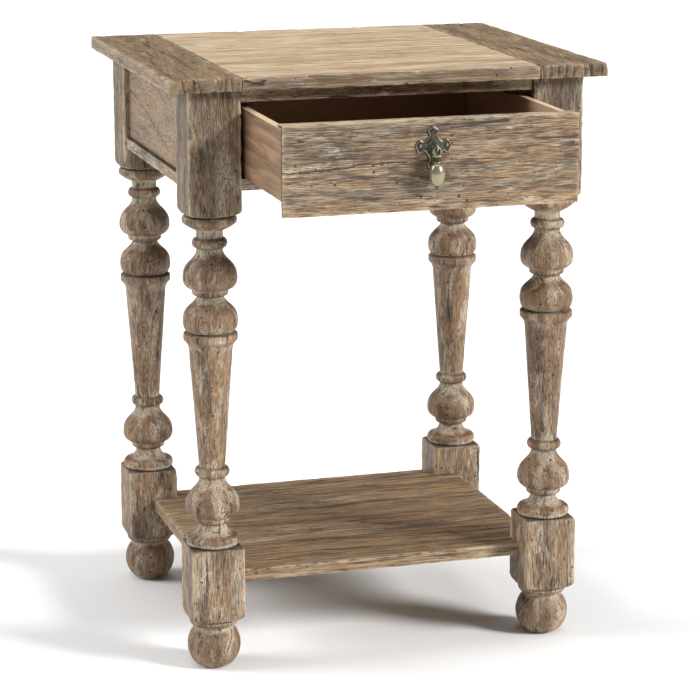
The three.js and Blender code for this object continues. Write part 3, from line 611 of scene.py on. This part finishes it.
post_inner_x = 177.5
front_post_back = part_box("leg_front_left")[1].y / MM
back_post_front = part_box("leg_back_left")[0].y / MM
for number, name in enumerate(("front_top_rail", "front_bottom_rail", "back_rail")):
    low, high = (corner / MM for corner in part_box(name))
    low.x, high.x = -post_inner_x, post_inner_x
    board(name + "_worn", "table", "weathered_wood", name, leg_wood, "x", 50 + number,
          low, high, pitch=(6, 8, 8))
# the tops of the side rails are painted dark as the shade in the ledge below each panel
for number, name in enumerate(("left_rail", "right_rail")):
    low, high = (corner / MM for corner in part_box(name))
    low.y, high.y = front_post_back, back_post_front
    board(name + "_worn", "table", "weathered_wood", name, leg_wood, "y", 60 + number,
          low, high, pitch=(8, 6, 8), painted_shade_and_soiled_sides=[(2, 1, 0.8, 0.7)])
panel_wood = weathered("weathered_wood_panel", "54412b", "856b4c", "9b7e5b", "b8a88d", 0.05, 0.4, 0.08,
                       streak=0.55, length=0.6)
# painted shade along the panels' edges, where they stand back in their grooves behind the rails and the
# posts
PANEL_EDGE_SHADE = [(2, -1, 0.95, 2.2), (2, 1, 0.5, 5)]
PANEL_CRACK = ([(5, 608), (60, 622), (130, 640), (205, 652)], [(0, 210)])
for number, name in enumerate(("left_panel", "right_panel")):
    low, high = (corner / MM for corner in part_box(name))
    low.y, high.y = front_post_back, back_post_front
    board(name + "_worn", "table", "weathered_wood", name, panel_wood, "y", 70 + number,
          low, high, soft=0.8, painted_shade_and_soiled_sides=PANEL_EDGE_SHADE + [(1, -1, 0.7, 2.4), (1, 1, 1, 6)],
          long_crack=PANEL_CRACK)
low, high = (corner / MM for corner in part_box("back_panel"))
low.x, high.x = -post_inner_x, post_inner_x
board("back_panel_worn", "table", "weathered_wood", "back_panel", panel_wood, "x", 75, low, high,
      soft=0.8, painted_shade_and_soiled_sides=PANEL_EDGE_SHADE + [(0, -1, 0.7, 2.0), (0, 1, 0.7, 2.0)])

# ---- Shelf ----
# Three boards lie side by side and are housed at their corners in the leg blocks. Their
# front and back edges are rounded by wear.

shelf_wood = weathered("weathered_wood_shelf", "433225", "7b6144", "9c7d59", "bbac92", 0.4, 0.55, 0.14,
                       length=3, width=2.2)
for number in (1, 2, 3):
    seams = [(1, 1, 0.5, 0.6)] if number < 3 else []
    seams += [(1, -1, 0.5, 0.6)] if number > 1 else []
    board(f"shelf_board_{number}_worn", "table", "weathered_wood", f"shelf_board_{number}",
          shelf_wood, "x", 80 + number, pitch=(7, 9, 8), soft=0.7 if number == 2 else 1.8,
          chips=0 if number == 2 else 2, painted_shade_and_soiled_sides=seams)

# ---- Top ----
# Three boards run from side to side between two breadboard ends, which hold them flat. The
# field is scrubbed to a pale honey, and the ends are greyer, with cracked end grain in front.

top_wood = weathered("top_wood", "8c7050", "b79c7a", "d1bc9e", "ded5c5", 0.6, 0.25, 0.05,
                     grey=0.25, streak=0.9, length=3.2, width=3.2)
end_wood = weathered("breadboard_wood", "4b3a29", "83694a", "a28461", "c0b298", 0.5, 0.65, 0.16,
                     length=1.2)
half_field = 179.85
for number in (1, 2, 3):
    name = f"top_board_{number}"
    low, high = (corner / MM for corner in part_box(name))
    low.x, high.x = -half_field, half_field
    edges = [(0, -1, 0.75, 0.7), (0, 1, 0.75, 0.7)]
    if number < 3:
        high.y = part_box(f"top_board_{number + 1}")[0].y / MM - 0.3
        edges.append((1, 1, 0.4, 0.5))
    edges.append((1, -1, 0.4, 0.5) if number > 1 else (1, -1, 0.72, 1.9))
    outer = number != 2
    board(name + "_worn", "table", "top_wood", name, top_wood, "x", 90 + number, low, high, painted_shade_and_soiled_sides=edges,
          pitch=(4, 9, 8), soft=1.6 if outer else 0.8, chips=5 if outer else 0,
          wave=(0, 1.6 if outer else 0, 0.5))
for number, (hand, inner_end) in enumerate((("left", 1), ("right", -1))):
    name = "breadboard_" + hand
    board(name + "_worn", "table", "breadboard_wood", name, end_wood, "y", 96 + number,
          pitch=(1.4, 4, 4), soft=1.5, chips=6, wave=(0.8, 1.6, 0.5), splits=9,
          painted_shade_and_soiled_sides=[(0, inner_end, 0.85, 0.8), (1, -1, 0.45, 1.6)])

# ---- Drawer ----
# The front is one board, rebated behind for the sides and hanging a thin lip over the rail,
# and its inner face and the end faces behind the lip are painted dark as shade. The box is smooth
# natural wood with a thin bottom set in grooves, its inner faces painted a paler tone than its
# outside to stand for how its shaded inside looks.


def union(name, solids):
    """Joins closed solids, each given as its points and faces, into one."""
    parts = []
    for number, (points, faces) in enumerate(solids):
        mesh = bpy.data.meshes.new(f"{name}_{number}")
        mesh.from_pydata(np.asarray(points).tolist(), [], faces)
        part = bpy.data.objects.new(mesh.name, mesh)
        bpy.context.scene.collection.objects.link(part)
        parts.append(part)
    for part in parts[1:]:
        join = parts[0].modifiers.new(part.name, "BOOLEAN")
        join.operation = "UNION"
        join.solver = "EXACT"
        join.object = part
    ready = parts[0].evaluated_get(bpy.context.evaluated_depsgraph_get()).to_mesh()
    points = np.array([v.co for v in ready.vertices])
    faces = [tuple(face.vertices) for face in ready.polygons]
    for part in parts:
        bpy.data.objects.remove(part)
    return points, faces


front_low, front_high = (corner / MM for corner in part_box("drawer_front"))
side_low, side_high = (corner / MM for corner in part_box("drawer_side_left"))
half_front = front_high.x
face = front_low.y
lip_thick = 5
core_half = half_front - 9.3
slab = worn_board((-half_front, face, front_low.z), (half_front, face + lip_thick, front_high.z), 120,
                  pitch=(4, 4, 4), soft=0.8, chips=1.2, dish=0.3)
core = worn_board((-core_half, face + 2, side_low.z), (core_half, front_high.y, front_high.z - 0.3),
                  121, pitch=(20, 8, 8), soft=0.5, dish=0)
head = worn_board((-half_front, face + 2.2, side_high.z + 0.3),
                  (half_front, front_high.y, front_high.z - 0.15),
                  122, pitch=(20, 4, 4), soft=0.5, dish=0)
points, faces = union("front", [slab[:2], core[:2], head[:2]])
gaps = np.stack([half_front - np.abs(points[:, 0]), np.minimum(points[:, 2] - front_low.z,
                 front_high.z - points[:, 2]), np.abs(points[:, 1] - face)], -1)
gaps = np.sort(np.maximum(gaps, 0), axis=1)
top_edge = np.clip((points[:, 2] - front_high.z + 1.0) * 1.5, 0, 1)
# painted shade: the front's inner face is darkened, and so are its end faces behind the lip
front_painted_shade = np.clip((points[:, 1] - front_high.y + 2) / 1.5, 0, 1)
end_shade = np.exp(-np.maximum(half_front - np.abs(points[:, 0]), 0) / 0.8) * (points[:, 1] > face + 0.8)
front_painted_shade = np.maximum(front_painted_shade, 0.8 * end_shade * (1 - top_edge))
front_wood = weathered("drawer_front_wood", "3d2c1f", "7b6044", "a98558", "c8bca5", 0.6, 0.6, 0.11,
                       grey=0.55)
FRONT_CRACK = ([(-173, 623), (-120, 625), (-80, 629), (-30, 630)], [(-180, -28)])
piece("drawer_front_worn", "drawer", "drawer_front_wood", ["drawer_front"], points * MM, faces,
      front_wood, grain=points * MM + np.array([2.3, 0.7, 0.4]),
      worn=np.maximum(np.exp(-gaps[:, 1] / 2.0), top_edge), sunk=np.zeros(len(points)),
      grime=front_painted_shade, **crack(points[:, 0], points[:, 2], *FRONT_CRACK))

box_wood = Finish("drawer_box_wood")
rings = box_wood.cloud(120, 9, 2, 0.5, 0.8)
pores = box_wood.cloud(16, 0.9, 3, 0.7)
colour = box_wood.ramp(rings, [(0.33, paint("6c5440")), (0.5, paint("83684e")), (0.66, paint("98795b"))])
colour = box_wood.lay(colour, paint("6b5140"), pores.between(0.46, 0.28) * 0.35)
colour = box_wood.lay(colour, paint("6a4a38"), box_wood.field("sunk") * 0.75)
colour = box_wood.lay(colour, paint("dcc3a2"), box_wood.field("worn") * 0.75)
# painted light: the inner faces take their own paler tone, set to how the shaded inside of the drawer
# looks
colour = box_wood.lay(colour, paint("b5957a"), box_wood.field("grime") * 0.93)
box_finish = box_wood.close(colour, 0.5 + pores * 0.1, pores * 0.5 + rings * 0.2, 0.15)


KNOT_BACK, KNOT_UP, KNOT_LONG, KNOT_HIGH = 62, 40, 7.5, 4.2


def box_board(name, along, seed, inward, **shape):
    """A board of the drawer's box. inward is the side that faces in: an axis and a sign.

    A knot shows in the boards that run from front to back.
    """
    low, high = (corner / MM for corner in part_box(name))
    points, faces, _ = worn_board(low, high, seed, soft=0.6, dish=0.05, **shape)
    axis, sign = inward
    depth = (high[axis] - points[:, axis]) if sign > 0 else (points[:, axis] - low[axis])
    # inside marks the inner faces, which get the paler painted tone that stands for the shaded inside
    inside = 1 - np.clip((depth - 0.4) / 0.5, 0, 1)
    top = np.clip((points[:, 2] - high.z + 0.7) * 2, 0, 1)
    across, up = points[:, 1] - (low.y + KNOT_BACK), points[:, 2] - (low.z + KNOT_UP)
    knot = np.exp(-((across / KNOT_LONG) ** 2 + (up / KNOT_HIGH) ** 2)) * (along == "y")
    order = {"x": (0, 1, 2), "y": (1, 0, 2)}[along]
    grain = points[:, order].copy()
    grain[:, 2] += 5 * knot * np.sign(up)
    return piece(name + "_planed", "drawer", "drawer_box_wood", [name], points * MM, faces, box_finish,
                 grain=grain * MM + seed * 0.31, worn=top * (1 - inside), sunk=knot,
                 grime=inside * (1 - top))


box_board("drawer_side_left", "y", 130, (0, 1), pitch=(9, 4, 4))
box_board("drawer_side_right", "y", 131, (0, -1), pitch=(9, 4, 4))
box_board("drawer_back", "x", 132, (1, -1))
box_board("drawer_bottom", "x", 133, (2, 1))

# ---- Pull ----
# A cast back plate of four lobes, held by two pins, carries a wire staple. A drop with an
# eye, a collared neck and a plain egg hangs from it. All are brass, dark in the hollows and
# rubbed bright where fingers touch.

plate_low, plate_high = (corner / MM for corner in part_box("pull_plate"))
staple_low, staple_high = (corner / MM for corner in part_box("pull_staple"))
pivot_z = (staple_low.z + staple_high.z) / 2
plate_z = pivot_z + 1
plate_back, plate_front = plate_high.y, plate_low.y
LOBE_LONG = 21
# half of a lobe's outline, from its tip to the corner between two lobes: along it, across it
LOBE = [(LOBE_LONG, 0), (20.6, 1.5), (19.5, 2.7), (18.7, 3.5), (18.3, 5.0), (17.2, 6.1), (16, 6.5),
        (14.7, 6.3), (13.6, 5.5), (12.6, 4.6), (11.3, 4.2), (10.1, 4.6), (8.8, 5.5), (7.8, 6.3),
        (7.1, 7.1)]


def brass(name, dark, bright, patina):
    """Cast brass, dark where it is sunk and by patina all over, and bright where it is worn."""
    metal = Finish(name)
    worn = metal.field("worn")
    sunk = metal.field("sunk")
    mottle = metal.cloud(3.2, 3.2, 4, 0.65)
    specks = metal.cloud(0.9, 0.9, 2, 0.5)
    shine = worn * 0.9 - sunk * 1.1 + (mottle - 0.5) * 0.9 + (0.5 - patina)
    shine = shine.between(0.0, 0.75)
    colour = metal.lay(paint(dark), paint(bright), shine)
    rough = 0.42 - shine * 0.16 + (specks - 0.5) * 0.1
    return metal.close(colour, rough, mottle * 0.6 + specks * 0.2, 0.05, metallic=0.35 + shine * 0.3)


old_brass = brass("antique_brass_dark", "2c2a21", "8d8670", 0.6)
rubbed_brass = brass("antique_brass_rubbed", "332f20", "9b957a", 0.25)


def brass_piece(name, body, points, faces, finish, worn, sunk):
    """A part of the pull, from its points in mm."""
    points = np.asarray(points)
    return piece(name + "_cast", body, "antique_brass", [name], points * MM, faces, finish,
                 grain=points * MM, worn=worn, sunk=sunk)


half_lobe = np.array(LOBE)
lobe = np.concatenate([half_lobe[:0:-1] * (1, -1), half_lobe[:-1]])
quarters = ((1, 0), (0, 1), (-1, 0), (0, -1))
corners = np.concatenate([lobe @ np.array(((c, s), (-s, c))) for c, s in quarters])
steps = np.arange(0, len(corners), 0.25)
outline = np.stack([np.interp(steps, range(len(corners) + 1), np.append(corners[:, i], corners[0, i]))
                    for i in (0, 1)], -1)
PLATE_CROWN = 1.6
# rings of the plate from its edge inwards: (distance in from the edge, height over the back)
PLATE_RINGS = [(0.6, 0), (0, 0.25), (0, 0.9), (0.25, 1.25), (0.8, 1.45), (1.25, 1.4), (1.5, 0.95),
               (1.8, 0.9), (2.1, 1.15), (2.7, 1.3)]
PLATE_RIM = (1.25, 1.45)
thick = plate_back - plate_front
points, worn, sunk = [], [], []


def plate_ring(ring, rise, brightness, depth):
    """Adds one ring of the plate, drawn to the height of its upper and its lower lobe."""
    z = np.where(ring[:, 1] > 0, ring[:, 1] * (plate_high.z - plate_z) / LOBE_LONG,
                 ring[:, 1] * (plate_z - plate_low.z) / LOBE_LONG)
    lift = np.full(len(ring), rise * thick / PLATE_CROWN)
    points.extend(np.stack([ring[:, 0], plate_back - lift, z + plate_z], -1).tolist())
    worn.extend([brightness] * len(ring))
    sunk.extend([depth] * len(ring))


for inset, rise in PLATE_RINGS:
    ring = outline
    for _ in range(2 + round(inset * 6)):
        ring = (np.roll(ring, 1, 0) + 2 * ring + np.roll(ring, -1, 0)) / 4
    ahead = np.roll(ring, -1, 0) - np.roll(ring, 1, 0)
    ahead /= np.linalg.norm(ahead, axis=1, keepdims=True)
    ring = ring + inset * np.stack([-ahead[:, 1], ahead[:, 0]], -1)
    plate_ring(ring, rise, 1.0 if rise in PLATE_RIM else 0.1, 1.0 if rise < 1 and inset > 1 else 0.0)
for share, rise in ((0.7, 1.42), (0.4, 1.5), (0.08, PLATE_CROWN)):
    plate_ring(ring * share, rise, 0.3, 0.0)
faces = ring_faces(len(points) // len(outline), len(outline))
brass_piece("pull_plate", "drawer", points, faces, old_brass, np.array(worn), np.array(sunk))

# the staple's two legs pass through the front and are bent over behind it
pivot = np.array([0, face - 14, pivot_z])
wire, loop, bend, clinch = 1.05, 2.8, 2.5, 8
behind = front_high.y + 1.4
half_path = [(behind, loop + z) for z in np.linspace(clinch, bend, 5)]
half_path += [(behind - bend + bend * math.cos(t), loop + bend - bend * math.sin(t))
              for t in np.linspace(0.2, math.pi / 2, 6)]
half_path += [(y, loop) for y in np.linspace(behind - bend - 2, pivot[1] + 1, 12)]
nose = [(pivot[1] - loop * math.sin(t), loop * math.cos(t)) for t in np.linspace(0, math.pi, 25)]
path = half_path + nose + [(y, -z) for y, z in reversed(half_path)]
path = np.array([(0, y, pivot_z + z) for y, z in path])


def wire_tube(path, radius, sides=14):
    """A round wire along a path in the plane x = 0, with closed ends."""
    ahead = np.gradient(path, axis=0)
    ahead /= np.linalg.norm(ahead, axis=1, keepdims=True)
    side = np.tile([1.0, 0, 0], (len(path), 1))
    up = np.cross(ahead, side)
    turns = np.linspace(0, math.tau, sides, endpoint=False)
    rings = [centre + radius * (math.cos(t) * s + math.sin(t) * u)
             for centre, s, u in zip(path, side, up) for t in turns]
    return np.array(rings), ring_faces(len(path), sides)


points, faces = wire_tube(path, wire)
brass_piece("pull_staple", "drawer", points, faces, rubbed_brass,
            worn=np.clip((pivot[1] + 2 - points[:, 1]) / 3, 0, 1),
            sunk=np.clip((points[:, 1] - face + 3) / 4, 0, 1))


def spun(outline, sides=48):
    """A closed solid turned about Z from (radius, height) pairs, lowest first."""
    turns = np.linspace(0, math.tau, sides, endpoint=False)
    points = [(r * math.cos(t), r * math.sin(t), z) for r, z in outline for t in turns]
    return np.array(points), ring_faces(len(outline), sides)


PIN_HEAD = 1.68
for hand in ("left", "right"):
    pin = "pull_pin_" + hand
    pin_low, pin_high = (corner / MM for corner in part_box(pin))
    outline = [(0.65, -9.3), (0.7, -9.0), (0.7, -0.2), (1.45, -0.05), (1.7, 0.15), (PIN_HEAD, 0.4)]
    outline += [(PIN_HEAD * math.cos(t), 0.4 + 0.58 * math.sin(t)) for t in np.linspace(0.2, 1.5, 6)]
    points, faces = spun(outline, 24)
    centre = (pin_low + pin_high) / 2
    placed = np.stack([points[:, 0] + centre.x, pin_low.y + 1 - points[:, 2],
                       points[:, 1] + centre.z], -1)
    brass_piece(pin, "drawer", placed, faces, old_brass,
                worn=np.clip(points[:, 2], 0, 1), sunk=np.where(points[:, 2] < 0.1, 1.0, 0.0))

# the drop hangs from the middle of its pivot: the eye, a collared neck, the egg and its knob
eye_ring, eye_wire, egg_top, egg_long, egg_wide, knob = 4.1, 1.35, 17, 27, 9.25, 1.68
neck_top = -2 * eye_ring + 0.4
egg_low = -egg_top - egg_long
egg_mid = -egg_top - egg_long / 2
drop = Outline(0.25, egg_low - knob, step=0.45)
drop.curve((knob * 0.8, egg_low - knob), (knob, egg_low - knob * 0.7), (knob, egg_low - knob * 0.4))
drop.curve((knob, egg_low + 0.2), (0.9, egg_low + 0.1), (1.3, egg_low + 0.5))
drop.curve((egg_wide * 0.7, egg_low + 2), (egg_wide, egg_mid - 5), (egg_wide, egg_mid + 1))
drop.curve((egg_wide, egg_mid + 7), (egg_wide * 0.75, -egg_top - 1.5), (4.2, -egg_top))
drop.curve((4.0, -egg_top + 0.2), (5.0, -egg_top + 0.3), (5.0, -egg_top + 0.8))
drop.curve((5.0, -egg_top + 1.4), (4.8, -egg_top + 1.6), (4.3, -egg_top + 1.7))
drop.curve((3.7, -egg_top + 3.5), (3.9, neck_top - 3), (4.4, neck_top - 1.9))
drop.curve((5.8, neck_top - 1.8), (6.0, neck_top - 1.5), (6.0, neck_top - 0.9))
drop.curve((6.0, neck_top - 0.1), (5.0, neck_top), (3.6, neck_top + 0.2))
drop.to(1.2, neck_top + 0.8)
body_points, body_faces = spun(drop.points)
eye_turns = np.linspace(0, math.tau, 48, endpoint=False)
wire_turns = np.linspace(0, math.tau, 16, endpoint=False)
round_eye, round_wire = len(eye_turns), len(wire_turns)
eye_points = np.array([((eye_ring + eye_wire * math.cos(w)) * math.cos(t), eye_wire * math.sin(w),
                        (eye_ring + eye_wire * math.cos(w)) * math.sin(t) - eye_ring)
                       for t in eye_turns for w in wire_turns])
eye_faces = []
for i in range(round_eye):
    here, there = i * round_wire, (i + 1) % round_eye * round_wire
    for j in range(round_wire):
        k = (j + 1) % round_wire
        eye_faces.append((here + j, there + j, there + k, here + k))
points, faces = union("drop", [(body_points, body_faces), (eye_points, eye_faces)])
spread = np.hypot(points[:, 0], points[:, 1])
worn = np.clip((spread - 3.6) / 2.4, 0, 1)
on_neck = (points[:, 2] < neck_top) * (points[:, 2] > egg_low + 4)
sunk = np.clip((4.6 - spread) / 1.0, 0, 1) * on_neck
sunk += np.exp(-((points[:, 2] + egg_top) / 0.5) ** 2)
brass_piece("pull_drop", "drop", points + pivot, faces, rubbed_brass, worn, np.clip(sunk, 0, 1))

# ---- Runners, guides, stops, kickers, screws and glides ----
# Plain planed strips inside the carcase carry the drawer, and two screws through each kicker
# hold the top. Dark moulded glides are pinned under the feet.

strip = Finish("secondary_wood", 1)
rings = strip.cloud(90, 6, 3, 0.55, 0.5)
pores = strip.cloud(14, 0.8, 3, 0.7)
saw = strip.cloud(2.2, 30, 2)
colour = strip.ramp(rings, [(0.34, paint("4c3726")), (0.5, paint("664b35")), (0.66, paint("7c5e43"))])
colour = strip.lay(colour, paint("2e2117"), pores.between(0.45, 0.3) * 0.5)
strip_finish = strip.close(colour, 0.66 + pores * 0.15, pores * 0.5 + saw * 0.4, 0.12)
steel = Finish("screw_steel", 1)
brushed = steel.cloud(0.4, 2.5, 3, 0.6)
rust = steel.cloud(2.4, 2.4, 4, 0.7).between(0.54, 0.68)
steel_finish = steel.close(steel.lay(paint("8d8d8c"), paint("5a4335"), rust * 0.5),
                           0.32 + brushed * 0.15 + rust * 0.3, brushed, 0.02, metallic=1 - rust * 0.6)
moulded = Finish("glide_plastic", 1)
grit = moulded.cloud(0.5, 0.5, 2, 0.5)
scuffs = moulded.cloud(6, 1.2, 4, 0.7).between(0.52, 0.66)
glide_finish = moulded.close(moulded.lay(paint("2b2623"), paint("57504a"), scuffs * 0.5),
                             0.5 + scuffs * 0.3, grit, 0.03)
for kinds, finish, slot in ((("runner_", "guide_", "stop_", "kicker_"), strip_finish, "secondary_wood"),
                            (("screw_",), steel_finish, "screw_steel"),
                            (("glide_",), glide_finish, "glide_plastic")):
    for name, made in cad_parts.items():
        if name.startswith(kinds):
            made.data.materials.clear()
            made.data.materials.append(finish)

# ---- Camera, light and floor ----
# A long lens stands left of the front at chest height. A big soft light at the right gives the
# shadows, and light from overhead, from the back left and off the pale floor fills them.

view = bpy.data.cameras.new("camera")
view.sensor_width = 36
view.lens = 135.81
view.shift_y = -0.1
view.clip_end = 100
camera = bpy.data.objects.new("camera", view)
bpy.context.scene.collection.objects.link(camera)
yaw, pitch = 0.2963, -0.2112
ahead = Vector((math.sin(yaw) * math.cos(pitch), math.cos(yaw) * math.cos(pitch), math.sin(pitch)))
camera.location = (-0.9287, -3.0059, 1.1126)
camera.rotation_euler = ahead.to_track_quat("-Z", "Y").to_euler()
bpy.context.scene.camera = camera
bpy.context.scene.view_settings.view_transform = "Standard"

world = bpy.data.worlds.new("room")
world.use_nodes = True
world.node_tree.nodes["Background"].inputs[0].default_value = (1, 1, 1, 1)
world.node_tree.nodes["Background"].inputs[1].default_value = 0.12
bpy.context.scene.world = world


table_middle = Vector((0, 0, 0.4))


def lamp(name, kind, place, strength, **settings):
    """A lamp that looks from its place at the middle of the table."""
    light = bpy.data.lights.new(name, kind)
    light.energy = strength
    for setting, value in settings.items():
        setattr(light, setting, value)
    made = bpy.data.objects.new(name, light)
    made.location = place
    made.rotation_euler = (table_middle - Vector(place)).to_track_quat("-Z", "Y").to_euler()
    bpy.context.scene.collection.objects.link(made)


lamp("key", "SUN", (1.35, -1.15, 1.3), 3.9, angle=math.radians(17))
lamp("overhead", "SUN", (-0.1, 0.2, 4), 1.5, angle=math.radians(60))
lamp("back_left", "SUN", (-1.5, 0.4, 1.3), 2.3, angle=math.radians(30))

floor_mesh = bpy.data.meshes.new("floor")
reach = 30
floor_mesh.from_pydata([(-reach, -reach, 0), (reach, -reach, 0), (reach, reach, 0), (-reach, reach, 0)],
                       [], [(0, 1, 2, 3)])
floor = bpy.data.objects.new("floor", floor_mesh)
bpy.context.scene.collection.objects.link(floor)
floor_paint = bpy.data.materials.new("floor_paint")
floor_paint.use_nodes = True
floor_surface = floor_paint.node_tree.nodes["Principled BSDF"]
floor_surface.inputs["Base Color"].default_value = (0.9, 0.9, 0.9, 1)
floor_surface.inputs["Roughness"].default_value = 0.9
floor_mesh.materials.append(floor_paint)
